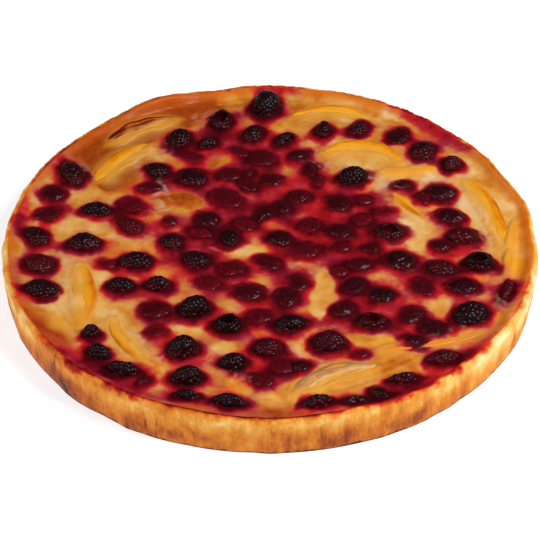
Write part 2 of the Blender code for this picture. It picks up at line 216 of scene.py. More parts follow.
def in_patches(points, patches, softness):
    """Strength of soft oval patches: middle, half length and half width in mm, turn, strength."""
    total = np.zeros(len(points))
    for *oval, strength in patches:
        beside = outside_oval(points, *from_mm(*oval))
        total += strength * (1 - soft_step(beside, -softness, softness))
    return total


# %% [markdown]
# Colours are picked as sRGB hex values, as a paint program shows them, and one function turns them
# into the linear values that a shader works with. One more function adds any shader node, sets its
# values, links its inputs and hands back its output, so that a material reads like a recipe.

# %% Helpers for materials
def srgb(hex_colour):
    channels = [int(hex_colour[i : i + 2], 16) / 255 for i in (1, 3, 5)]
    linear = [c / 12.92 if c <= 0.04045 else ((c + 0.055) / 1.055) ** 2.4 for c in channels]
    return (*linear, 1.0)


# A Mix node that blends colours has its factor and its two colours at these inputs.
FACTOR, FIRST, SECOND = 0, 6, 7


def add_node(tree, kind, inputs=None, output=None, stops=None, **settings):
    """Adds a node. An input takes a value or another node's output; stops are a colour ramp's."""
    node = tree.nodes.new("ShaderNode" + kind)
    if kind == "Mix":
        node.data_type = "RGBA"
    for key, value in settings.items():
        setattr(node, key, value)
    for key, value in (inputs or {}).items():
        if isinstance(value, bpy.types.NodeSocket):
            tree.links.new(value, node.inputs[key])
        else:
            node.inputs[key].default_value = value
    if stops:
        elements = node.color_ramp.elements
        while len(elements) < len(stops):
            elements.new(1.0)
        for element, (position, colour) in zip(elements, stops):
            element.position = position
            element.color = srgb(colour)
    return node.outputs[output] if output else next(o for o in node.outputs if o.enabled)


def start_material(name, stored=(), **sockets):
    """A material, what adds a node to it, its shader with even values set, and the stored numbers."""
    made = bpy.data.materials.new(name)
    made.use_nodes = True
    add = partial(add_node, made.node_tree)
    shader = made.node_tree.nodes["Principled BSDF"]
    for key, value in sockets.items():
        shader.inputs[key.replace("_", " ")].default_value = value
    read = {key: add("Attribute", output="Fac", attribute_name=key) for key in stored}
    return made, add, shader, read


def feed_shader(shader, **outputs):
    """Links outputs of nodes to the shader's sockets of these names."""
    for key, output in outputs.items():
        shader.id_data.links.new(output, shader.inputs[key.replace("_", " ")])


# %% [markdown]
# The solids carry the tart's uneven outline, so it is measured rather than typed again. The shell's
# wall has 108 columns; the widest and the highest point of each give the outline and the crest at
# that bearing. The custard's solid gives the outline of the filling in the same way.

# %% Measure the shell and the filling
COLUMNS = 108
RIM_RADIUS = 0.140
RIM_HEIGHT = 0.0235
column_bearings = np.arange(COLUMNS) * TAU / COLUMNS


def largest_by_column(points, values):
    column = np.round(bearing_of(points) / TAU * COLUMNS).astype(int) % COLUMNS
    best = np.zeros(COLUMNS)
    np.maximum.at(best, column, values)
    return best


def read_round(values, bearings):
    """Reads a measure of the columns at any bearing."""
    return np.interp(bearings, column_bearings, values, period=TAU)


shell_solid = get_points(nodes["pastry_shell"])
wall_radius = largest_by_column(shell_solid, radius_of(shell_solid))
crest_height = largest_by_column(shell_solid, shell_solid[:, 2])
custard_solid = get_points(nodes["custard"])
custard_radius = largest_by_column(custard_solid, radius_of(custard_solid))
print("wall radius", wall_radius.min() / MM, "to", wall_radius.max() / MM, "mm")

# %% [markdown]
# The shell is rolled shortcrust pastry pressed against the side of a tin. Modelled by hand, it is a ring
# that is extruded up the wall, over the rounded rim and down the inside to the floor, then smoothed
# with a Subdivision Surface modifier.

# %% Pastry shell
SHELL_COLUMNS = 324
# Distance in from the outline and height, mm, from the foot over the crest and down to the floor.
SHELL_SECTION = [
    (2.4, 0.0), (1.6, 0.8), (1.0, 4.5), (0.7, 9.0), (0.4, 14.0), (0.1, 18.0), (0.0, 20.6), (0.5, 22.6),
    (1.8, 23.8), (3.4, 23.7), (4.7, 22.4), (5.2, 20.0), (5.4, 14.0), (5.4, 4.0),
]

start_piece()
bpy.ops.mesh.primitive_circle_add(
    vertices=SHELL_COLUMNS, radius=RIM_RADIUS - SHELL_SECTION[0][0] * MM, fill_type="NOTHING"
)
shell = name_piece("pastry_crust")
with editing("SELECT"):
    for (inset, height), (next_inset, next_height) in zip(SHELL_SECTION, SHELL_SECTION[1:]):
        step = (0, 0, (next_height - height) * MM)
        bpy.ops.mesh.extrude_region_move(TRANSFORM_OT_translate={"value": step})
        shrink = (RIM_RADIUS - next_inset * MM) / (RIM_RADIUS - inset * MM)
        bpy.ops.transform.resize(value=(shrink, shrink, 1))
smooth_piece(shell, 2)

# %% [markdown]
# The smooth ring then takes the solid's outline, and noise pushes its points in: tall narrow lumps for
# the ribs that the tin and the knife left on the wall, small round ones for crumbs, and wide ones for
# where the dough was uneven. Points only move in, so the shell stays inside its solid.

# %% Uneven wall and rim
RIB_WIDTH = 0.0034
RIB_DEPTH = 0.00030
CRUMB_SIZE = 0.0016
CRUMB_DEPTH = 0.00018
DOUGH_LUMP = 0.012
DOUGH_DEPTH = 0.0007
CREASE_SPACING = 0.009
CREASE_STRETCH = 0.010  # how long the noise lets a crease run before it fades
CREASE_DEPTH = 0.0006
CREST_DIP = 0.0006
CRUMBLED_STRETCHES = [(52, 14, 0.8), (160, 6, 0.2)]  # bearing and width in degrees, strength

points = get_points(shell)
bearings = bearing_of(points)
inset = RIM_RADIUS - radius_of(points)
height = points[:, 2]
on_wall = soft_step(-inset, -0.0035, -0.0015)
crest = soft_step(height, 0.019, 0.0225)
inner = soft_step(inset, 0.0012, 0.004)
ribs = noise_at(points, RIB_WIDTH, 0, 7) + 0.5 * noise_at(points, RIB_WIDTH / 2.2, 7, 6)
crumbs = noise_at(points, CRUMB_SIZE, 3, 1.4)
dough = noise_at(points, DOUGH_LUMP, 11, 1.6)
# A crease is where wide noise crosses nothing, kept only where another noise is high.
crease = np.exp(-((noise_at(points, CREASE_SPACING, 71, 5) / 0.035) ** 2)) * on_wall
crease *= soft_step(noise_at(points, CREASE_STRETCH, 77, 2), 0.05, 0.4)
crumbled = along_rim(bearings, CRUMBLED_STRETCHES)
push = RIB_DEPTH * (0.4 - ribs) * on_wall + CRUMB_DEPTH * (1 + 2 * crumbled) * (0.4 - crumbs)
push += CREASE_DEPTH * crease
push += DOUGH_DEPTH * (0.3 - 0.7 * dough) * (0.3 + 0.7 * on_wall)
push = np.maximum(push, 0) * soft_step(height, -0.0001, 0.0012)
radius = read_round(wall_radius, bearings) - inset - push
rise = read_round(crest_height, bearings) / RIM_HEIGHT
dip = CREST_DIP * (0.6 + 0.5 * noise_at(points, DOUGH_LUMP / 2.4, 19) - (0.3 + crumbled) * crumbs)
height = np.minimum(height * rise, read_round(crest_height, bearings)) - np.maximum(dip, 0) * crest
set_points(shell, np.column_stack((radius * np.cos(bearings), radius * np.sin(bearings), height)))

# %% [markdown]
# How brown the pastry is and where juice ran over it differ round the tart, and painted light is added to
# its colour: a painted highlight on the pale stretches and the top of the wall, and painted shade in its
# creases, rib valleys and crumb pits. All are stored on the shell's points. Each pale stretch or stain is a
# bearing, a width and a strength, seen from above with the right-hand side at 0 degrees.

# %% Browning, stains and painted light of the shell
BROWN_CLOUD = 0.018  # sizes of the noises, m
BROWN_PATCH = 0.006
BROWN_STREAK = 0.0013
CREAM_SPOT = 0.008
FOOT_LUMP = 0.004
SPILL_LUMP = 0.005
SPILL_GRAIN = 0.002
# Paler stretches of the wall, partly paler pastry and partly a painted highlight on the lit right front and
# left: bearing and width in degrees, strength.
PALE_AND_LIT_STRETCHES = [(-33, 16, 0.22), (-8, 12, 0.16), (187, 12, 0.20), (204, 8, 0.12), (262, 10, 0.05)]
SPILL = 0.0014  # how far a stain's edge wanders across the crest
BROWN_STRETCHES = [(222, 9, 0.16), (240, 9, 0.10), (285, 9, 0.06), (120, 25, 0.10)]
JUICE_STAINS = [
    (47, 13, 0.6), (88, 8, 0.7), (150, 9, 0.4), (174, 6, 0.45), (197, 9, 0.42),
    (224, 9, 0.8), (240, 8, 0.8), (258, 12, 0.3), (278, 12, 0.3), (296, 9, 0.8), (308, 7, 0.8),
    (318, 5, 0.8), (341, 6, 0.5),
]
BROWN_CREST = [(264, 24, 0.46), (226, 18, 0.06), (298, 12, 0.05), (135, 20, 0.15)]

points = get_points(shell)
streaks = noise_at(points, BROWN_STREAK, 29, 9)
up_wall = soft_step(points[:, 2], 0.006, 0.020)
# The wall is paler towards its top: partly paler pastry, partly a painted highlight where it faces the
# light.
bake = 0.66 - 0.26 * up_wall * on_wall + 0.20 * noise_at(points, BROWN_CLOUD, 5, 1.3)
# Painted shade: the valleys of the ribs here, and the creases and the pits between crumbs on the next line,
# are darker.
bake += 0.17 * noise_at(points, BROWN_PATCH, 9, 1.5) + (0.03 * streaks - 0.08 * ribs) * on_wall
bake += 0.16 * crease - 0.07 * crumbs
bake -= 0.14 * soft_step(noise_at(points, CREAM_SPOT, 63), 0.05, 0.5) * up_wall * on_wall
bake += along_rim(bearings, BROWN_STRETCHES)
# Painted highlight and paler pastry on those stretches, strongest near the top of the wall.
bake -= along_rim(bearings, PALE_AND_LIT_STRETCHES) * (0.3 + 0.7 * up_wall)
bake -= 0.04 * inner * crest
foot = 1 - soft_step(points[:, 2], 0.0002, 0.0014 + 0.0010 * noise_at(points, FOOT_LUMP, 53))
bake += 0.5 * foot
ragged = noise_at(points, SPILL_LUMP, 23) + 0.5 * noise_at(points, SPILL_GRAIN, 27)
over_top = crest * soft_step(inset + SPILL * ragged, -0.0004, 0.0034)
bake += along_rim(bearings, BROWN_CREST) * over_top
stain = along_rim(bearings, JUICE_STAINS) * over_top
stain += 0.6 * crumbled * crest
bake -= 0.12 * crumbled * crest
stain *= 0.9 + 0.8 * ragged
# The browning stored here also holds the painted highlight and the painted shade.
store(shell, bake=np.clip(bake, 0, 1), juice=np.clip(stain, 0, 1), glaze=inner * crest)
close_open_edges()
bpy.ops.object.shade_smooth_by_angle(angle=SHARP_ANGLE)
join_tart(shell, "pastry", "pastry_shell")

# %% [markdown]
# Each berry that stands out of the custard is a solid of its own. Its middle, length, width, height
# and turn are read from that solid's points: the length lies along the direction in which the
# points spread the most. A slice is read in the same way, with a curve fitted along its bow; its skin
# edge is the side on which its points stand higher.

# %% Read the fruit
BERRY_DEPTH_SHARE = 0.36  # depth below the widest line, as a share of the width


def main_ways(plan):
    """The way along which points in plan spread most, and the way across it."""
    spread = np.linalg.eigh(np.cov(plan.T))[1]
    return spread[:, 1], spread[:, 0]


def read_berry(node):
    """Middle, height of the widest line, half length, half width, rise, depth and turn."""
    plan = get_points(nodes[node])[:, :2]
    low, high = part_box(node)
    length_way, width_way = main_ways(plan)
    along, across = plan @ length_way, plan @ width_way
    middle = length_way * (along.max() + along.min()) / 2
    middle += width_way * (across.max() + across.min()) / 2
    half_length, half_width = np.ptp(along) / 2, np.ptp(across) / 2
    depth = BERRY_DEPTH_SHARE * 2 * half_width
    turn = math.atan2(length_way[1], length_way[0])
    return *middle, low.z + depth, half_length, half_width, high.z - low.z - depth, depth, turn


def read_slice(node):
    """Middle, the ways along and across, the bow's curve, the skin side, half length, half width."""
    solid = get_points(nodes[node])
    middle = solid[:, :2].mean(axis=0)
    length_way, width_way = main_ways(solid[:, :2])
    along, across = (solid[:, :2] - middle) @ length_way, (solid[:, :2] - middle) @ width_way
    bow = np.polyfit(along, across, 2)
    beside = across - np.polyval(bow, along)
    skin_side = np.sign(np.corrcoef(beside, solid[:, 2])[0, 1])
    return middle, length_way, width_way, bow, skin_side, np.abs(along).max(), np.abs(beside).max()


def place_on_slice(points, fruit_slice):
    """How far along a slice each point is, and how far it is from its middle line to the skin side."""
    middle, length_way, width_way, bow, skin_side = fruit_slice[:5]
    along, across = (points[:, :2] - middle) @ length_way, (points[:, :2] - middle) @ width_way
    return along, (across - np.polyval(bow, along)) * skin_side


proud_berries = {name: read_berry(name) for name in sorted(nodes) if name.startswith("berry_")}
proud_slices = {name: read_slice(name) for name in sorted(nodes) if name.startswith("fruit_slice_")}
print(len(proud_berries), "berries and", len(proud_slices), "slices stand out of the custard")

# %% [markdown]
# The berries that the custard closed over belong to the custard's solid, so their places are listed
# here: middle, length, width and height of each in mm, and the turn of its length in degrees. After
# them come the places where a slice shows only as a long swelling of the custard.

# %% Sunk fruit
SUNK_BERRIES = [
    (-116, 40, 14, 12, 3.0, -60), (-118, 22, 15, 12, 2.6, 20), (-74, 31, 15, 13, 2.0, -40),
    (-42, 54, 18, 15, 4.2, -30), (-43, 74, 15, 9, 1.6, -30), (-22, 57, 13, 11, 2.4, 0),
    (-12, 48, 14, 8, 2.4, -50), (-11, 60, 6, 6, 1.4, 0), (-23, 36, 20, 15, 2.2, -20),
    (-64, 46, 15, 8, 2.4, 0), (-33, 18, 13, 12, 3.4, -20), (-53, 16, 8, 7, 2.2, -40),
    (-37, 7, 14, 8, 1.4, -10), (-3, 22, 15, 9, 3.2, 60), (-13, 14, 13, 11, 2.0, 0),
    (-4, 72, 16, 13, 2.4, -20), (-17, 78, 12, 8, 1.8, -20), (16, 75, 12, 8, 3.0, 30),
    (22, 62, 13, 7, 2.6, 100), (26, 52, 11, 7, 1.8, 80), (71, 92, 16, 14, 3.6, 70),
    (71, 47, 12, 9, 2.8, 40), (92, 41, 16, 14, 3.8, 0), (82, 36, 11, 8, 1.6, 70),
    (95, 20, 16, 13, 3.8, -20), (89, -5, 11, 9, 2.8, -30), (53, -6, 11, 9, 2.6, 0),
    (37, 8, 14, 11, 3.2, -15), (5, 1, 15, 13, 3.6, 0), (21, 13, 13, 11, 2.2, 0),
    (36, 31, 15, 13, 3.2, -30), (16, 37, 13, 11, 2.6, 0), (2, 52, 11, 10, 2.6, 0),
    (7, 29, 11, 8, 2.8, -60), (19, -8, 16, 12, 2.0, 20), (60, 25, 11, 7, 1.4, 0),
    (50, 35, 9, 8, 1.4, 0), (49, 18, 12, 10, 1.4, 20), (38, -5, 9, 8, 1.8, 0),
    (67, -17, 18, 15, 4.4, 0), (46, -20, 16, 9, 2.6, 0), (36, -25, 9, 8, 1.6, 90),
    (43, -38, 14, 12, 3.2, 70), (57, -45, 16, 12, 4.0, 0), (37, -56, 13, 11, 2.8, 0),
    (98, -38, 18, 12, 4.0, 0), (78, -38, 15, 10, 2.4, -60), (71, -60, 15, 12, 2.8, 60),
    (82, -70, 15, 12, 3.2, -20), (71, -80, 11, 8, 3.2, -20), (53, -119, 12, 8, 4.2, -30),
    (41, -124, 15, 7, 4.0, 0), (6, -99, 13, 10, 1.8, 0), (15, -99, 9, 8, 3.4, 0),
    (8, -47, 16, 11, 3.0, 100), (15, -35, 12, 10, 2.4, 110), (45, -89, 8, 6, 1.2, 0),
    (-4, -109, 12, 11, 2.2, 0), (-84, -19, 9, 7, 1.2, 0), (-58, -56, 16, 13, 2.6, 0),
    (-57, -72, 11, 8, 1.6, 0), (-61, -109, 8, 6, 2.4, 60), (-20, -23, 15, 12, 2.2, 0),
    (-1, -18, 15, 11, 2.4, -30), (-31, -35, 13, 10, 1.4, 0), (-11, -42, 16, 14, 2.8, 0),
    (-5, -61, 12, 12, 2.2, 0),
]
# Middle, half length, half width, turn and height of each swelling.
SWELLINGS = [
    (-111, -67, 16, 7, -57, 1.2), (125, -8, 28, 4, 81, 1.6), (-63, 17, 13, 3.5, 92, 1.0),
    (-10, -113, 15, 4, -22, 1.1), (74, 62, 18, 4.5, 6, 1.2),
]

# %% [markdown]
# The custard's surface starts as a flat grid. A square grid is bent into a round one by pulling its
# corners in, which keeps its cells nearly even, and is then stretched to the measured outline. It
# laps onto the pastry's rim, as custard does, so that no gap shows where the two meet.

# %% Custard surface
CUSTARD_LEVEL = 0.0206
CUSTARD_WAVE = 0.0005
CUSTARD_WAVE_LENGTH = 0.024
WAVE_PLANE = 28 / 24  # the height at which the waves' noise is read, in wave lengths
CUSTARD_REACH = 0.0021
GRID = 300

start_piece()
bpy.ops.mesh.primitive_grid_add(x_subdivisions=GRID, y_subdivisions=GRID, size=2)
custard = name_piece("custard_filling")
square = get_points(custard)
x, y = square[:, 0], square[:, 1]
disc = np.column_stack((x * np.sqrt(1 - y * y / 2), y * np.sqrt(1 - x * x / 2), 0 * x))
disc_share = radius_of(disc)
disc *= (read_round(custard_radius, bearing_of(disc)) + CUSTARD_REACH)[:, None]
disc_bearings = bearing_of(disc)
from_edge = (1 - disc_share) * RIM_RADIUS


def open_level(points):
    """Height of the custard away from any fruit."""
    return CUSTARD_LEVEL + CUSTARD_WAVE * noise_of(
        points * (1, 1, 0) / CUSTARD_WAVE_LENGTH + (0, 0, WAVE_PLANE)
    )


# %% [markdown]
# The berries bled while they baked. Round a berry that lies alone, the custard is nearly black for a
# millimetre and crimson for a few more. Where berries are crowded their juice ran together, so how far
# a berry bleeds grows with the number of its neighbours. The edge of a stain wanders, so distance
# is measured from a point that noise has pushed about.

# %% Juice in the custard
CROWD_REACH = 0.030
DARK_RING = 0.0021
BLEED_ALONE = 0.0030
BLEED_CHANGE = 0.6
BLEED_PER_NEIGHBOUR = 0.00042
BLEED_LUMP = 0.011
WANDER = 0.0022
WANDER_LUMP = 0.009
WANDER_GRAIN = 0.0035
FULLY_SHOWING = 3.2  # mm that a sunk berry rises when its whole top shows
CLIMB_ON_BERRY = 0.0019
EDGE_BAND = 0.0085  # how wide the baked edge is
FRONT_BAND = 0.0045  # how much wider it is at the front
EDGE_LUMP = 0.012
# Patches that stayed clear of juice: middle, half length and half width in mm, turn, strength.
CLEAR_PATCHES = [
    (-48, 33, 14, 8, 0, 1), (-16, -7, 15, 4, -8, 1), (27, -42, 6, 20, -8, 1), (76, 8, 8, 12, 15, 1),
    (86, -50, 6, 8, 20, 0.9), (-56, 21, 5, 6, 0, 0.8), (-90, -30, 8, 12, 0, 1), (58, 70, 24, 7, -10, 1),
    (-20, -82, 9, 4, 0, 0.9), (50, -79, 14, 5, -10, 1), (0, 14, 4, 3, 0, 0.6), (-28, 68, 7, 3, 30, 0.8),
    (80, 60, 14, 5, 0, 1), (-100, 33, 6, 8, 0, 1), (-40, -72, 5, 4, 0, 0.5), (20, 100, 8, 5, 0, 0.8),
    (-75, -70, 8, 20, 10, 1), (-72, 70, 12, 14, 30, 1), (108, 30, 6, 25, 10, 1), (60, -97, 22, 8, 15, 1),
]
# Pools where juice ran together or spilt against the rim, in the same terms.
JUICE_POOLS = [
    (2, 30, 60, 34, 0, 0.1), (38, -20, 42, 24, -10, 0.1), (93, 98, 30, 9, -47, 0.34),
    (-132, 26, 5, 24, 5, 0.35), (-31, 5, 12, 8, 0, 0.4), (30, -60, 12, 8, 0, 0.4),
    (-90, -96, 16, 5, -42, 0.25), (104, -86, 24, 5, 42, 0.3), (-52, 56, 18, 10, -20, 0.2),
    (-86, 26, 22, 5, -10, 0.35), (-20, 96, 20, 8, 0, 0.3), (66, -120, 20, 4, 24, 0.3),
]

ovals = [(b[0], b[1], b[3], b[4], b[7], 1.0) for b in proud_berries.values()]
for x_mm, y_mm, length, width, rise_mm, turn in SUNK_BERRIES:
    showing = min(1.0, rise_mm / FULLY_SHOWING)
    ovals.append((*from_mm(x_mm, y_mm, length / 2, width / 2, turn), showing))
middles = np.array([oval[:2] for oval in ovals])
crowd = (np.hypot(*(middles[:, None] - middles).transpose(2, 0, 1)) < CROWD_REACH).sum(axis=1) - 1

wander = [
    noise_at(disc, WANDER_LUMP, seed) + 0.25 * noise_at(disc, WANDER_GRAIN, seed + 3) for seed in (2, 31)
]
sideways = np.column_stack((*wander, 0 * x))
wandered = disc + WANDER * sideways
clear = np.clip(in_patches(wandered, CLEAR_PATCHES, 0.003), 0, 1)
uneven = 1 + BLEED_CHANGE * noise_at(disc, BLEED_LUMP, 57)
unstained = np.ones(len(disc))
climb = np.zeros(len(disc))
for (*oval, showing), neighbours in zip(ovals, crowd):
    beside = np.maximum(outside_oval(wandered, *oval), 0)
    bleed = (BLEED_ALONE + BLEED_PER_NEIGHBOUR * neighbours * (1 - clear)) * uneven
    dark = (0.28 + 0.28 * showing) * np.exp(-((beside / (DARK_RING * uneven)) ** 1.5))
    red = (0.52 - 0.012 * neighbours) * np.exp(-((beside / bleed) ** 1.25))
    unstained *= (1 - dark) * (1 - red)
    exact = np.maximum(outside_oval(disc, *oval), 0)
    climb = np.maximum(climb, showing * np.exp(-((exact / CLIMB_ON_BERRY) ** 2)))
pools = np.clip(in_patches(wandered, JUICE_POOLS, 0.006), 0, 1) * (1 - clear)
juice = 1 - unstained * (1 - pools)
# The front rim hides what lies right behind it, so the baked edge is wider there, as far as it shows.
front = soft_step(-np.sin(disc_bearings), -0.2, 0.6)
band = EDGE_BAND + FRONT_BAND * front + 0.003 * noise_at(disc, EDGE_LUMP, 43)
at_edge = 1 - soft_step(from_edge, 0.0008, band)
rim_juice = along_rim(disc_bearings, JUICE_STAINS) * at_edge * (0.7 + 0.5 * wander[0])
juice = 1 - (1 - juice) * (1 - 0.85 * np.clip(rim_juice, 0, 1))
print("juice covers", round(float((juice > 0.3).mean()), 2), "of the custard")

# %% [markdown]
# The slices' flesh shows through the custard as pale streaked bands on the core side of each skin edge.
# Their streaks follow the slice, so noise is read in the slice's own two directions. Browner and paler
# patches of custard are listed one by one, because the oven made them. Near the rim the custard was poured
# round the tart, so its streaks run along the rim: noise is read on a cylinder, which has no seam. A brown
# syrup of sugar and juice gathered in the ditch along the front and the left.

# %% Flesh, browning and folds in the custard
FLESH_WIDTH = 0.0075
CLIMB_REACH = 0.0022
STREAK_LENGTH = 0.014
STREAK_WIDTH = 0.0017
POUR_LENGTH = 0.034
POUR_WIDTH = 0.0026
POUR_REACH = 0.036
FOLD = 0.005
FOLD_WIDTH = 0.009
TONE_CLOUD = 0.026
SKIN_FOLD = 0.0035
BAND_STRENGTH = 1.4  # how golden the swellings are
SYRUP_STRETCHES = [(268, 30, 1.3), (224, 20, 1.3), (196, 10, 0.6), (318, 14, 0.6), (135, 18, 0.5)]
# Pale skin that lies in wrinkles on the custard: oval patches as above.
SKIN_PATCHES = [
    (-58, 38, 4, 14, 8, 1), (60, 50, 12, 5, -30, 0.8), (-105, 62, 8, 5, 30, 0.6), (-36, 112, 8, 4, 20, 0.7),
    (-62, 78, 20, 5, 45, 0.6), (112, 12, 4, 16, 8, 0.7), (-104, -42, 4, 20, 5, 0.6),
    (94, -70, 20, 1.6, 24, 0.35), (-60, -84, 3, 20, 38, 0.7), (40, 66, 22, 5, -8, 0.5),
    (-15, -108, 10, 4, -25, 0.5), (120, -55, 4, 12, 30, 0.5),
]
# Slices that show only as golden bands under the skin.
RIPE_BANDS = [
    (72, -79, 24, 2.5, 3, 1.8), (126, -30, 18, 3.5, 74, 1.6), (100, 54, 20, 4, -40, 1.2),
    (8, -106, 3.5, 9, 20, 1.4), (112, -64, 20, 2.5, 34, 1.3),
]
TONE_PATCHES = [
    (-98, 76, 24, 34, 50, -0.7), (-62, 108, 36, 16, 25, -0.62), (-50, 42, 20, 10, 0, -0.5),
    (-84, 40, 12, 10, 0, -0.15), (-30, 60, 40, 20, 0, -0.12), (0, 20, 60, 40, 0, -0.08),
    (112, 40, 20, 34, 10, 0.2), (84, 40, 30, 30, 0, 0.15), (76, 8, 10, 12, 0, 0.25),
    (20, -42, 8, 20, 0, 0.1), (-95, -60, 20, 30, 10, 0.12), (56, -96, 34, 12, 14, -0.2),
    (30, 115, 40, 10, -10, -0.2), (-16, -6, 16, 5, 0, 0.1), (-118, 30, 12, 25, 10, 0.1),
]

flesh = np.zeros(len(disc))
streak = np.zeros(len(disc))
slice_climb = np.zeros(len(disc))
for number, fruit_slice in enumerate(proud_slices.values()):
    along, to_skin = place_on_slice(wandered, fruit_slice)
    in_length = 1 - soft_step(np.abs(along), fruit_slice[5] * 0.55, fruit_slice[5] * 1.05)
    near = in_length > 0
    side = np.exp(-(((-to_skin - 0.5 * FLESH_WIDTH) / FLESH_WIDTH) ** 2)) * in_length
    flesh = np.maximum(flesh, side)
    local = np.column_stack((along / STREAK_LENGTH, to_skin / STREAK_WIDTH, 0 * along + number))[near]
    streak[near] += side[near] * noise_of(local)
    exact_along, exact_side = place_on_slice(disc, fruit_slice)
    width_here = fruit_slice[6] * np.sqrt(np.maximum(1 - (exact_along / fruit_slice[5]) ** 2, 0))
    beside = np.hypot(
        np.maximum(np.abs(exact_side) - width_here, 0), np.maximum(np.abs(exact_along) - fruit_slice[5], 0)
    )
    core_side = soft_step(-exact_side, -width_here, width_here + 0.0001)
    climb_here = (0.55 + 0.45 * core_side) * np.exp(-((beside / CLIMB_REACH) ** 2))
    slice_climb = np.maximum(slice_climb, climb_here)

bands = [(*swelling[:5], BAND_STRENGTH) for swelling in SWELLINGS] + RIPE_BANDS
ripe = np.maximum(slice_climb, in_patches(wandered, bands, 0.0022))

poured = np.column_stack((disc / np.maximum(radius_of(disc), 0.001)[:, None], from_edge / POUR_WIDTH))
poured[:, :2] *= RIM_RADIUS / POUR_LENGTH
pour = noise_of(poured[:, [0, 1, 3]])
pour *= 1 - soft_step(from_edge, POUR_REACH / 2, POUR_REACH)
folded = disc + FOLD * sideways
folds = noise_at(folded, FOLD_WIDTH, 67)
tone = 0.44 + 0.34 * noise_at(disc, TONE_CLOUD, 61) + 0.26 * folds + 0.14 * pour
tone += in_patches(wandered, TONE_PATCHES, 0.008) - 0.10 * at_edge
syrup = along_rim(disc_bearings, SYRUP_STRETCHES) * np.sqrt(at_edge) * (0.8 + 0.7 * wander[1])
skin = soft_step(noise_at(folded, SKIN_FOLD, 83) + 0.3 * folds, -0.15, 0.45)
skin *= np.clip(in_patches(wandered, SKIN_PATCHES, 0.003), 0, 1)

# %% [markdown]
# The custard's height is gentle waves, a climb where it set against the fruit and the pastry, wrinkles
# of skin, and a lumpier pulp where juice boiled through it. Sunk slices lift it in long swellings.

# %% Shape the custard
BERRY_CLIMB = 0.0012
SLICE_CLIMB = 0.0011
EDGE_SHORT = 0.0004  # how far below the rim's crest the custard's edge ends
WRINKLE = 0.00025
WRINKLE_SIZE = 0.0032
PULP = 0.0004
PULP_LUMP = 0.0042
PULP_GRAIN = 0.0020
STREAK_DEPTH = 0.0001
POUR_DEPTH = 0.00015
SKIN_DEPTH = 0.0005
WAVY_EDGE = 0.0006
CUSTARD_FOOT = 0.0044

pulp = 0.6 * noise_at(disc, PULP_LUMP, 13) + 0.4 * noise_at(disc, PULP_GRAIN, 17)
level = open_level(disc) + BERRY_CLIMB * climb + SLICE_CLIMB * slice_climb
level += WRINKLE * noise_at(disc, WRINKLE_SIZE, 41) + PULP * pulp * soft_step(juice, 0.2, 0.7)
level += STREAK_DEPTH * streak + POUR_DEPTH * pour + SKIN_DEPTH * skin
edge_height = read_round(crest_height, disc_bearings) - EDGE_SHORT - WAVY_EDGE * np.maximum(wander[0], 0)
level += (edge_height - level) * at_edge**3
for *swelling, rise_mm in SWELLINGS:
    oval = from_mm(*swelling)
    level += rise_mm * MM * (1 - soft_step(outside_oval(disc, *oval), -oval[3], 0.001))
top = np.column_stack((disc[:, :2], level))
set_points(custard, top)
flesh *= 1 - soft_step(juice, 0.15, 0.5)
syrup, tone = np.clip(syrup, 0, 1), np.clip(tone, 0, 1)
store(custard, juice=juice, edge=at_edge**2, syrup=syrup, ripe=ripe)
store(custard, skin=skin, flesh=flesh, streak=streak, tone=tone)
close_open_edges(drop=CUSTARD_LEVEL)
points = get_points(custard)
points[len(top) :, 2] = CUSTARD_FOOT
set_points(custard, points)
bpy.ops.object.shade_smooth_by_angle(angle=SHARP_ANGLE)
join_tart(custard, "custard", "custard")

# %% [markdown]
# A cane berry is a cluster of small round beads round a core. One sphere is modelled and copied, with
# finer faces on the part that stands out of the custard. Each copy is stretched to its berry's size,
# and then every point is raised where it lies near the middle of a bead, by the height of a ball
# there. Where two beads meet they leave a crease, as on the fruit. Baking made the beads slump, so
# their middles and sizes are drawn at random.

# %% One sphere for all berries
SPHERE_STEPS = 5
FINE_ABOVE = -0.15

start_piece()
bpy.ops.mesh.primitive_ico_sphere_add(subdivisions=SPHERE_STEPS, radius=1)
sphere = name_piece("berry_blank")
with editing("DESELECT"):
    bpy.ops.mesh.select_mode(type="FACE")
for face in sphere.data.polygons:
    face.select = face.center.z > FINE_ABOVE
with editing():
    bpy.ops.mesh.subdivide(number_cuts=1)
ball = get_points(sphere)
ball /= np.linalg.norm(ball, axis=1)[:, None]
set_points(sphere, ball)
print("berry blank has", len(ball), "points")

# %% Beads
BEAD_SPACING = 0.0029
BEAD_RADIUS = 0.0020
BEAD_HEIGHT = 0.42  # how much of a ball's height shows
SLUMP = 0.14  # how far a berry sank in places, as a share of its height


def stretch_ball(ball, half_length, half_width, rise, depth):
    """Stretches a ball to a berry, whose part above its widest line and part below it differ."""
    heights = np.where(ball[:, 2] > 0, rise, depth)
    return ball * np.column_stack((0 * heights + half_length, 0 * heights + half_width, heights))


def bead_middles(half_length, half_width, half_height, draw):
    """Even directions over the berry: a spiral round its length, each bead pushed a little."""
    mean_square = (half_length * half_width + half_length * half_height + half_width * half_height) / 3
    count = int(4 * math.pi * mean_square / (0.87 * BEAD_SPACING**2))
    step = np.arange(count) + 0.5
    tilt = 1 - 2 * step / count
    around = step * math.pi * (1 + math.sqrt(5)) + draw.uniform(0, TAU)
    ring = np.sqrt(1 - tilt * tilt)
    ways = np.column_stack((tilt, ring * np.cos(around), ring * np.sin(around)))
    ways += draw.normal(0, 0.5 / math.sqrt(count), ways.shape)
    return ways / np.linalg.norm(ways, axis=1)[:, None]


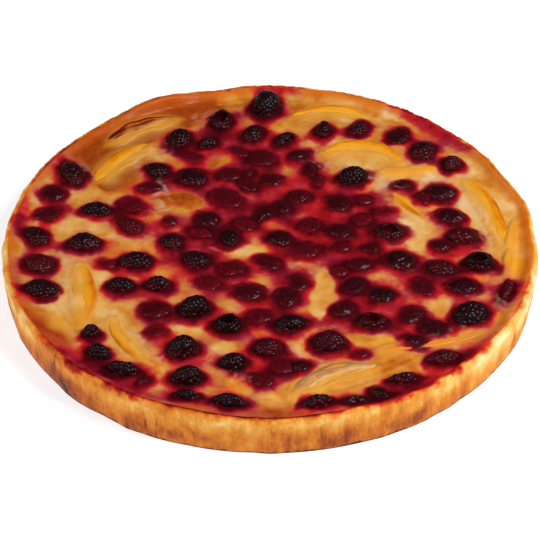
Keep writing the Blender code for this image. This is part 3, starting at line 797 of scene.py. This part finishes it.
def beaded(ball, berry_size, draw, height=BEAD_HEIGHT):
    """Points of a berry round its own middle, and how high each stands on its bead, 0 to 1."""
    half_length, half_width, rise, depth = berry_size
    body = stretch_ball(ball, *berry_size)
    normal = stretch_ball(ball, 1 / half_length, 1 / half_width, 1 / rise, 1 / depth)
    normal /= np.linalg.norm(normal, axis=1)[:, None]
    ways = bead_middles(half_length, half_width, (rise + depth) / 2, draw)
    seats = stretch_ball(ways, *berry_size)
    radii = BEAD_RADIUS * draw.uniform(0.7, 1.15, len(ways))
    away = np.linalg.norm(body[:, None] - seats, axis=2)
    bump = np.sqrt(np.maximum(radii**2 - away**2, 0)).max(axis=1) / BEAD_RADIUS
    sunken = 0.5 + 0.5 * noise_at(body, half_width, draw.uniform(0, 50))
    inward = BEAD_RADIUS * height * (1.15 - bump) + SLUMP * rise * sunken
    return body - normal * inward[:, None], bump


def put(points, x, y, z, turn):
    """Turns points about the upright and moves them to a place."""
    cos, sin = math.cos(turn), math.sin(turn)
    along, across = points[:, 0], points[:, 1]
    return np.column_stack(
        (x + along * cos - across * sin, y + along * sin + across * cos, z + points[:, 2])
    )


# %% [markdown]
# Some berries landed with the stalk end up and show the hole where the core was. The rest lie on their
# sides. Every berry is a piece of its own that stands for its own solid. The film is custard and juice
# that dried on its lower part.

# %% Proud berries
HOLLOW_BERRIES = {f"berry_{n:02d}" for n in (9, 19, 23, 25, 40)}
HOLE_SHARE = 0.50
HOLE_DEPTH = 0.85
HOLE_LEAN = 0.16  # how far the hole leans to the front, as a share of the size
FILM_HEIGHT = 0.0046
# Berries that juice runs over show red all over.
RED_BERRIES = {f"berry_{n:02d}" for n in (5, 16, 18, 24, 27, 28, 31, 33, 34)}
REDNESS = 0.5

berry_pieces = []
for number, (node, berry) in enumerate(proud_berries.items()):
    x0, y0, widest, half_length, half_width, rise, depth, turn = berry
    draw = np.random.default_rng(100 + number)
    piece = copy_piece(sphere, "cane_" + node)
    shaped, bump = beaded(ball, (half_length, half_width, rise, depth), draw)
    if node in HOLLOW_BERRIES:
        lean = np.array((math.sin(turn), math.cos(turn), 0)) * HOLE_LEAN
        hole = 1 - soft_step(radius_of(ball + lean), HOLE_SHARE - 0.25, HOLE_SHARE)
        hole *= ball[:, 2] > 0
        shaped[:, 2] -= HOLE_DEPTH * rise * hole
        bump *= 1 - 0.9 * hole
    set_points(piece, put(shaped, x0, y0, widest, turn))
    ragged = draw.uniform(0.6, 1.6) + 0.6 * noise_at(shaped, 0.004, number)
    film = 1 - soft_step(shaped[:, 2], 0, FILM_HEIGHT * ragged)
    store(piece, bead=bump, film=np.clip(film + REDNESS * (node in RED_BERRIES), 0, 1))
    piece.data.shade_smooth()
    join_tart(piece, "berry", node)
    berry_pieces.append(piece)

# %% [markdown]
# The sunk berries show only their tops through the custard's skin. They are made from the same kind of
# sphere with its lower half cut away, and joined into one piece. The deeper a berry lies, the more
# skin covers it, so its beads are flatter and it looks redder.

# %% Sunk berries
SUNK_CUT = -0.04
SUNK_FOOT = 0.0005  # how far the cut edge reaches under the level of the custard
SUNK_DEPTH = 0.004
SUNK_PROUD = 0.0003
SUNK_LUMP = 0.006
SUNK_WARP = 0.0014

start_piece()
bpy.ops.mesh.primitive_ico_sphere_add(subdivisions=SPHERE_STEPS, radius=1)
half_sphere = name_piece("sunk_blank")
with editing("SELECT"):
    bpy.ops.mesh.bisect(
        plane_co=(0, 0, SUNK_CUT), plane_no=(0, 0, 1), clear_inner=True, use_fill=True
    )
cap = get_points(half_sphere)

sunk_parts = []
for number, (x_mm, y_mm, length, width, rise_mm, turn) in enumerate(SUNK_BERRIES):
    draw = np.random.default_rng(300 + number)
    part = copy_piece(half_sphere, f"sunk_{number}")
    covered = min(1.0, max(0.15, (4.6 - rise_mm) / 2.6))
    size = (length / 2 * MM, width / 2 * MM, rise_mm * MM + SUNK_PROUD, SUNK_DEPTH)
    shaped, bump = beaded(cap, size, draw, BEAD_HEIGHT * (0.85 - 0.45 * covered))
    warp = [noise_at(shaped, SUNK_LUMP, seed + number) for seed in (0, 200)]
    shaped[:, :2] += SUNK_WARP * np.column_stack(warp)
    shaped[cap[:, 2] < SUNK_CUT / 2, 2] = -SUNK_FOOT
    level_here = open_level(np.array([(x_mm * MM, y_mm * MM, 0.0)]))[0]
    set_points(part, put(shaped, x_mm * MM, y_mm * MM, level_here, math.radians(turn)))
    low_part = 1 - soft_step(shaped[:, 2], 0.0003, 0.0006 + 0.55 * rise_mm * MM)
    film = 0.3 * covered + 0.35 * covered**6 + 0.8 * low_part
    store(part, bead=bump, film=np.clip(film, 0, 1))
    sunk_parts.append(part)
start_piece()
for part in sunk_parts:
    part.select_set(True)
bpy.context.view_layer.objects.active = sunk_parts[0]
bpy.ops.object.join()
sunk = name_piece("sunk_berries")
sunk.data.shade_smooth()
for blank in (sphere, half_sphere):
    bpy.data.objects.remove(blank)
join_tart(sunk, "berry", "custard")
berry_pieces.append(sunk)

# %% [markdown]
# A fruit slice keeps the shape of its solid, a crescent with one proud edge, and only needs to be
# soft. A copy of the solid is merged, its triangles are paired into quads, and a Subdivision Surface
# modifier rounds it. Fibres run along it, so noise is read in its own two directions again.

# %% Fruit slices
SLICE_FIBRE = 0.0002
SLICE_LUMP = 0.009
SLICE_WARP = 0.0006

slice_pieces = []
for number, (node, fruit_slice) in enumerate(proud_slices.items()):
    piece = copy_piece(nodes[node], "poached_" + node)
    with editing("SELECT"):
        bpy.ops.mesh.remove_doubles(threshold=0.00001)
        bpy.ops.mesh.tris_convert_to_quads()
    smooth_piece(piece, 3)
    points = get_points(piece)
    along, to_skin = place_on_slice(points, fruit_slice)
    local = np.column_stack((along / STREAK_LENGTH, to_skin / STREAK_WIDTH, points[:, 2] / STREAK_LENGTH))
    fibre = noise_of(local + (number, 0, 0))
    rough = [noise_at(points, SLICE_LUMP, seed + 5 * number) for seed in (3, 47, 91)]
    above = np.maximum(points[:, 2] - CUSTARD_LEVEL, 0)
    points[:, 2] += SLICE_FIBRE * (fibre - 0.5) + above * (0.35 * rough[2] - 0.18)
    points[:, :2] += SLICE_WARP * np.column_stack(rough[:2])
    set_points(piece, points)
    low = 1 - soft_step(points[:, 2], CUSTARD_LEVEL + 0.0006, CUSTARD_LEVEL + 0.0017)
    store(piece, to_skin=to_skin / np.percentile(np.abs(to_skin), 98), fibre=fibre, low=low)
    piece.data.shade_smooth()
    join_tart(piece, "fruit", node)
    slice_pieces.append(piece)

# %% [markdown]
# Baked shortcrust pastry is matt and dry, pale cream where it was shielded and deep brown where it caught
# the heat. The browning stored on the shell, with its painted highlights and painted shade, picks a colour
# from a ramp, fine upright streaks and specks break it up, and juice stains it red. The rim was glazed, so
# a clear coat shines there.

# %% Baked shortcrust pastry
CRUST_STREAK = 0.0016
CRUST_SPECK = 0.0008
CRUST_BLOTCH = 0.003
CRUST_BROWNS = [
    (0.0, "#ffeeb2"), (0.2, "#fccd70"), (0.4, "#f0a238"),
    (0.6, "#dc7c1a"), (0.8, "#aa4e14"), (1.0, "#44190a"),
]
JUICE_ON_CRUST = [(0.0, "#ffffff"), (0.35, "#f08050"), (0.7, "#d83c3c"), (1.0, "#a01422")]


def shortcrust():
    made, add, shader, read = start_material(
        "baked_shortcrust",
        ["bake", "juice", "glaze"],
        Roughness=0.6,
        Specular_IOR_Level=0.2,
        Subsurface_Weight=0.06,
        Subsurface_Radius=(0.003, 0.0015, 0.0006),
        Coat_Roughness=0.25,
    )
    place = add("TexCoord", output="Object")
    upright = add("Mapping", {"Vector": place, "Scale": (1, 1, 0.4)})
    streaks = add("TexNoise", {"Vector": upright, "Scale": 1 / CRUST_STREAK, "Detail": 3})
    specks = add("TexNoise", {"Vector": place, "Scale": 1 / CRUST_SPECK, "Detail": 2})
    grain = add("Math", {0: streaks, 1: specks}, operation="ADD")
    shade = add("Math", {0: grain, 1: 0.22, 2: -0.22}, operation="MULTIPLY_ADD")
    # The stored browning carries painted highlight and painted shade as well.
    shade = add("Math", {0: read["bake"], 1: shade}, operation="ADD", use_clamp=True)
    crust = add("ValToRGB", {"Fac": shade}, stops=CRUST_BROWNS)
    blotch = add("TexNoise", {"Vector": place, "Scale": 1 / CRUST_BLOTCH, "Detail": 3})
    amount = add("Math", {0: blotch, 1: 0.5}, operation="ADD")
    amount = add("Math", {0: amount, 1: read["juice"]}, operation="MULTIPLY", use_clamp=True)
    stain = add("ValToRGB", {"Fac": amount}, stops=JUICE_ON_CRUST)
    colour = add("Mix", {FACTOR: 1.0, FIRST: crust, SECOND: stain}, blend_type="MULTIPLY")
    coat = add("Math", {0: read["glaze"], 1: 0.3}, operation="MULTIPLY")
    bump = add("Bump", {"Height": grain, "Strength": 0.45, "Distance": 0.0004})
    feed_shader(shader, Base_Color=colour, Coat_Weight=coat, Normal=bump)
    return made


shell.data.materials.append(shortcrust())

# %% [markdown]
# Baked custard has a smooth glossy skin that light enters a little way. Its gold darkens to brown in
# patches and pales where fruit flesh lies under it. The juice stored on it takes its colour from clear
# gold through orange and crimson to the near-black of the fruit's own edge.

# %% Baked egg custard
CUSTARD_SHADE = 0.004
CUSTARD_PULP = 0.0036
CUSTARD_CLOUD = 0.018
CUSTARD_PORE = 0.0016
GOLDS = [(0.1, "#9c3c0c"), (0.3, "#bf5c16"), (0.5, "#da8a30"), (0.7, "#e8ac58"), (0.95, "#f3ca94")]
FLESH_TONES = [(0.2, "#cf9244"), (0.5, "#e0a850"), (0.8, "#efc984")]
# How much juice there is, and its colour where it is red and where it is mauve.
JUICE_TONES = [
    (0.15, "#d8783a", "#cc8458"), (0.32, "#d4452e", "#c05048"), (0.48, "#c2222a", "#a01e30"),
    (0.64, "#960e18", "#740a1a"), (0.80, "#54030d", "#48040f"), (1.0, "#260308", "#240308"),
]
# Stored number, how strongly it tints, and the colour that it tints the gold with.
TINTS = [("ripe", 0.5, "#f0a028"), ("edge", 0.8, "#dc6c16"), ("syrup", 1.0, "#a83614")]


def egg_custard():
    made, add, shader, read = start_material(
        "baked_egg_custard",
        ["tone", "streak", "flesh", "ripe", "edge", "syrup", "juice", "skin"],
        Roughness=0.42,
        Specular_IOR_Level=0.06,
        Subsurface_Weight=0.10,
        Subsurface_Radius=(0.003, 0.0012, 0.0005),
        Coat_Roughness=0.12,
    )
    place = add("TexCoord", output="Object")
    fine = add("TexNoise", {"Vector": place, "Scale": 1 / CUSTARD_SHADE, "Detail": 3})
    tone = add("Math", {0: fine, 1: 0.3, 2: read["tone"]}, operation="MULTIPLY_ADD")
    gold = add("ValToRGB", {"Fac": tone}, stops=GOLDS)
    fibres = add("Math", {0: read["streak"], 1: 0.8, 2: 0.5}, operation="MULTIPLY_ADD")
    pale = add("ValToRGB", {"Fac": fibres}, stops=FLESH_TONES)
    flesh = add("Math", {0: read["flesh"], 1: 0.75}, operation="MULTIPLY")
    gold = add("Mix", {FACTOR: flesh, FIRST: gold, SECOND: pale})
    for stored, strength, tint in TINTS:
        share = add("Math", {0: read[stored], 1: strength}, operation="MULTIPLY")
        gold = add("Mix", {FACTOR: share, FIRST: gold, SECOND: srgb(tint)})
    pulp = add("TexNoise", {"Vector": place, "Scale": 1 / CUSTARD_PULP, "Detail": 2})
    pulp = add("Math", {0: pulp, 1: 0.26, 2: -0.13}, operation="MULTIPLY_ADD")
    juice = add("Math", {0: read["juice"], 1: pulp}, operation="ADD", use_clamp=True)
    amount = add("ValToRGB", {"Fac": juice}, stops=[(0.10, "#000000"), (0.42, "#ffffff")])
    red = add("ValToRGB", {"Fac": juice}, stops=[(share, red) for share, red, _ in JUICE_TONES])
    mauve = add("ValToRGB", {"Fac": juice}, stops=[(share, mauve) for share, _, mauve in JUICE_TONES])
    cloud = add("TexNoise", {"Vector": place, "Scale": 1 / CUSTARD_CLOUD, "Detail": 3})
    cloud = add("ValToRGB", {"Fac": cloud}, stops=[(0.42, "#000000"), (0.58, "#ffffff")])
    red = add("Mix", {FACTOR: cloud, FIRST: red, SECOND: mauve})
    colour = add("Mix", {FACTOR: amount, FIRST: gold, SECOND: red})
    skin = add("Math", {0: read["skin"], 1: 0.5}, operation="MULTIPLY")
    colour = add("Mix", {FACTOR: skin, FIRST: colour, SECOND: srgb("#dcb29c")})
    # The clear coat fades out towards the dry baked edge.
    coat = add("Math", {0: read["edge"], 1: 0.3}, operation="POWER")
    coat = add("Math", {0: coat, 1: -0.24, 2: 0.26}, operation="MULTIPLY_ADD")
    pores = add("TexNoise", {"Vector": place, "Scale": 1 / CUSTARD_PORE, "Detail": 3})
    bump = add("Bump", {"Height": pores, "Strength": 0.35, "Distance": 0.0005})
    feed_shader(shader, Base_Color=colour, Coat_Weight=coat, Normal=bump)
    return made


custard.data.materials.append(egg_custard())

# %% [markdown]
# Berry skin is thin, wet and nearly black over red juice. The red shows in the creases between beads
# and under the film near the custard. A clear coat gives each bead its small sharp highlight. A sunk
# berry lies under a skin of juice, so it is redder and a little smoother.

# %% Wet berry skin
BERRY_PATCH = 0.009
BERRY_PORE = 0.0006
DARK_SKIN = [(0.3, "#2c0209"), (0.7, "#180409"), (1.0, "#20090f")]


def berry_skin(name, red_ramp, **sockets):
    made, add, shader, read = start_material(name, ["bead", "film"], **sockets)
    place = add("TexCoord", output="Object")
    dark = add("ValToRGB", {"Fac": read["bead"]}, stops=DARK_SKIN)
    red = add("ValToRGB", {"Fac": read["bead"]}, stops=red_ramp)
    patchy = add("TexNoise", {"Vector": place, "Scale": 1 / BERRY_PATCH, "Detail": 3})
    amount = add("Math", {0: patchy, 1: 0.5}, operation="ADD")
    amount = add("Math", {0: read["film"], 1: amount}, operation="MULTIPLY", use_clamp=True)
    colour = add("Mix", {FACTOR: amount, FIRST: dark, SECOND: red})
    skin = add("TexNoise", {"Vector": place, "Scale": 1 / BERRY_PORE, "Detail": 2})
    bump = add("Bump", {"Height": skin, "Strength": 0.3, "Distance": 0.0002})
    feed_shader(shader, Base_Color=colour, Normal=bump)
    return made


wet_skin = berry_skin(
    "wet_berry_skin",
    [(0.2, "#5a030c"), (0.7, "#46040d"), (1.0, "#4e0a16")],
    Roughness=0.42,
    Specular_IOR_Level=0.07,
    Coat_Weight=0.15,
    Coat_Roughness=0.16,
)
juicy_skin = berry_skin(
    "juice_covered_berry_skin",
    [(0.2, "#740614"), (0.7, "#5e0512"), (1.0, "#680a18")],
    Roughness=0.4,
    Specular_IOR_Level=0.08,
    Coat_Weight=0.14,
    Coat_Roughness=0.14,
)
for piece in berry_pieces:
    piece.data.materials.append(juicy_skin if piece is sunk else wet_skin)

# %% [markdown]
# Poached fruit is pale and lets light through. Its skin edge is a deep gold that browned in the oven,
# and its core side pales into the custard. The stored way across the slice picks the colour, and its
# fibres streak it. One slice caramelised and one stayed clear, so each kind has a ramp of its own.

# %% Poached fruit
FRUIT_CLOUD = 0.005
FRUIT_PORE = 0.0012


def poached_fruit(name, fibres, ramp):
    made, add, shader, read = start_material(
        name,
        ["to_skin", "fibre", "low"],
        Roughness=0.5,
        Specular_IOR_Level=0.12,
        Subsurface_Weight=0.15,
        Subsurface_Radius=(0.004, 0.002, 0.0008),
        Coat_Weight=0.12,
        Coat_Roughness=0.18,
    )
    place = add("TexCoord", output="Object")
    cloud = add("TexNoise", {"Vector": place, "Scale": 1 / FRUIT_CLOUD, "Detail": 3})
    shade = add("Math", {0: read["to_skin"], 1: 0.5, 2: 0.25}, operation="MULTIPLY_ADD")
    shade = add("Math", {0: read["fibre"], 1: fibres, 2: shade}, operation="MULTIPLY_ADD")
    shade = add("Math", {0: cloud, 1: 0.5, 2: shade}, operation="MULTIPLY_ADD")
    colour = add("ValToRGB", {"Fac": shade}, stops=ramp)
    low = add("Math", {0: cloud, 1: 0.6, 2: read["low"]}, operation="MULTIPLY_ADD")
    low = add("ValToRGB", {"Fac": low}, stops=[(0.45, "#000000"), (1.0, "#c8c8c8")])
    colour = add("Mix", {FACTOR: low, FIRST: colour, SECOND: srgb("#ea9e38")})
    skin = add("TexNoise", {"Vector": place, "Scale": 1 / FRUIT_PORE, "Detail": 3})
    bump = add("Bump", {"Height": skin, "Strength": 0.35, "Distance": 0.0004})
    feed_shader(shader, Base_Color=colour, Normal=bump)
    return made


golden = poached_fruit(
    "poached_fruit_golden",
    0.25,
    [(0.05, "#eaaa48"), (0.3, "#f2ab30"), (0.52, "#f4a012"), (0.76, "#e6820a"), (1.0, "#b05612")],
)
caramel = poached_fruit(
    "poached_fruit_caramelised",
    0.6,
    [(0.05, "#cf9450"), (0.3, "#bd7432"), (0.46, "#a04818"), (0.56, "#86260f"), (0.8, "#5c160c")],
)
clear_flesh = poached_fruit(
    "poached_fruit_clear",
    0.5,
    [(0.0, "#f0cc80"), (0.28, "#e2b066"), (0.5, "#c88e58"), (0.8, "#b07448"), (1.0, "#d8963c")],
)
SLICE_FINISH = {"fruit_slice_01": caramel, "fruit_slice_08": clear_flesh}
for node, piece in zip(proud_slices, slice_pieces):
    piece.data.materials.append(SLICE_FINISH.get(node, golden))

# %% [markdown]
# The tart stands on a plain white table that glows a little, as a table lit from all round does. A soft
# light from the front right gives the berries their highlights and the wall its bright side, and a
# weaker one fills the left.

# %% Table, lights and room
TABLE_SIZE = 12
ROOM_LIGHT = 0.05

start_piece()
bpy.ops.mesh.primitive_plane_add(size=TABLE_SIZE)
table = name_piece("table")
table_material = start_material(
    "white_table",
    Base_Color=srgb("#b0b0b2"),
    Roughness=0.9,
    Emission_Color=srgb("#ffffff"),
    Emission_Strength=0.75,
)[0]
table.data.materials.append(table_material)


def soft_light(name, location, size, power):
    bpy.ops.object.light_add(type="AREA", location=location)
    light = bpy.context.object
    light.name = name
    light.data.size = size
    light.data.energy = power
    light.rotation_euler = (Vector(location) - AIM).to_track_quat("Z", "Y").to_euler()


soft_light("key_light", (0.95, -0.40, 1.30), 0.6, 25)
soft_light("fill_light", (-1.2, -0.6, 0.8), 0.8, 9)

world = bpy.data.worlds.new("white_room")
world.use_nodes = True
background = world.node_tree.nodes["Background"]
background.inputs["Strength"].default_value = ROOM_LIGHT
background.inputs["Color"].default_value = (1, 1, 1, 1)
bpy.context.scene.world = world
bpy.context.scene.view_settings.view_transform = "Standard"
